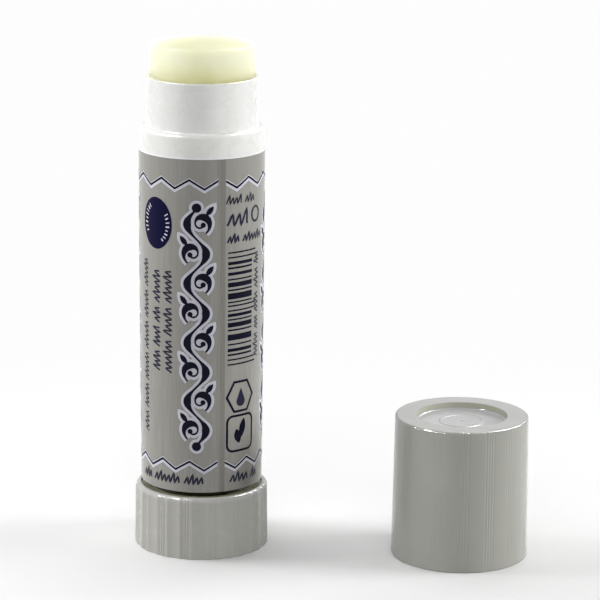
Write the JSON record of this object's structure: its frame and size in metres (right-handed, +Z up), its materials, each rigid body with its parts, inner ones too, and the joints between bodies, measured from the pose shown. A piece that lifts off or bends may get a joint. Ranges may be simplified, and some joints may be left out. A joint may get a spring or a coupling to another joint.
{
  "type": "glue stick",
  "caption": "Twist-up glue stick: round labelled barrel with a stepped neck, fluted turning knob, screw-driven glue column, and its grooved cap standing beside it.",
  "frame": {"origin": "middle of the flat end of the knob's hub, on the plane that the stick and its cap stand on, on the axis of the stick", "axes": "+Z up the stick towards the glue, -Y towards the viewer of the picture, +X towards the cap that stands beside the stick"},
  "size_m": [0.0614, 0.0257, 0.079],
  "materials": {
    "barrel_plastic": "white moulded polypropylene, lightly glossy",
    "label_film": "warm grey printed film, satin",
    "grey_plastic": "silver-grey moulded polypropylene, satin",
    "spindle_plastic": "light grey moulded polypropylene, satin",
    "carrier_plastic": "natural white moulded polypropylene, satin",
    "glue": "solid pale yellow adhesive, waxy and slightly translucent"
  },
  "bodies": {
    "barrel": {"barrel": "barrel_plastic", "label": "label_film"},
    "knob": {"knob": "grey_plastic", "spindle": "spindle_plastic"},
    "carrier": {"carrier": "carrier_plastic", "glue_stick": "glue"},
    "cap": {"cap": "grey_plastic"}
  },
  "joints": [
    {"name": "knob_turn", "type": "hinge", "parent": "barrel", "child": "knob", "pos_m": [0, 0, 0], "axis": [0, 0, 1], "range_deg": [-377.5, 2467.8]},
    {"name": "carrier_slide", "type": "slide", "parent": "barrel", "child": "carrier", "axis": [0, 0, 1], "range_m": [-0.0065, 0.0425]},
    {"name": "cap_lift", "type": "slide", "parent": "barrel", "child": "cap", "axis": [0, 0, 1], "range_m": [0, 0.12]}
  ],
  "couplings": [
    {"joint": "knob_turn", "follows": "carrier_slide", "rad_per_m": 1013.4}
  ]
}
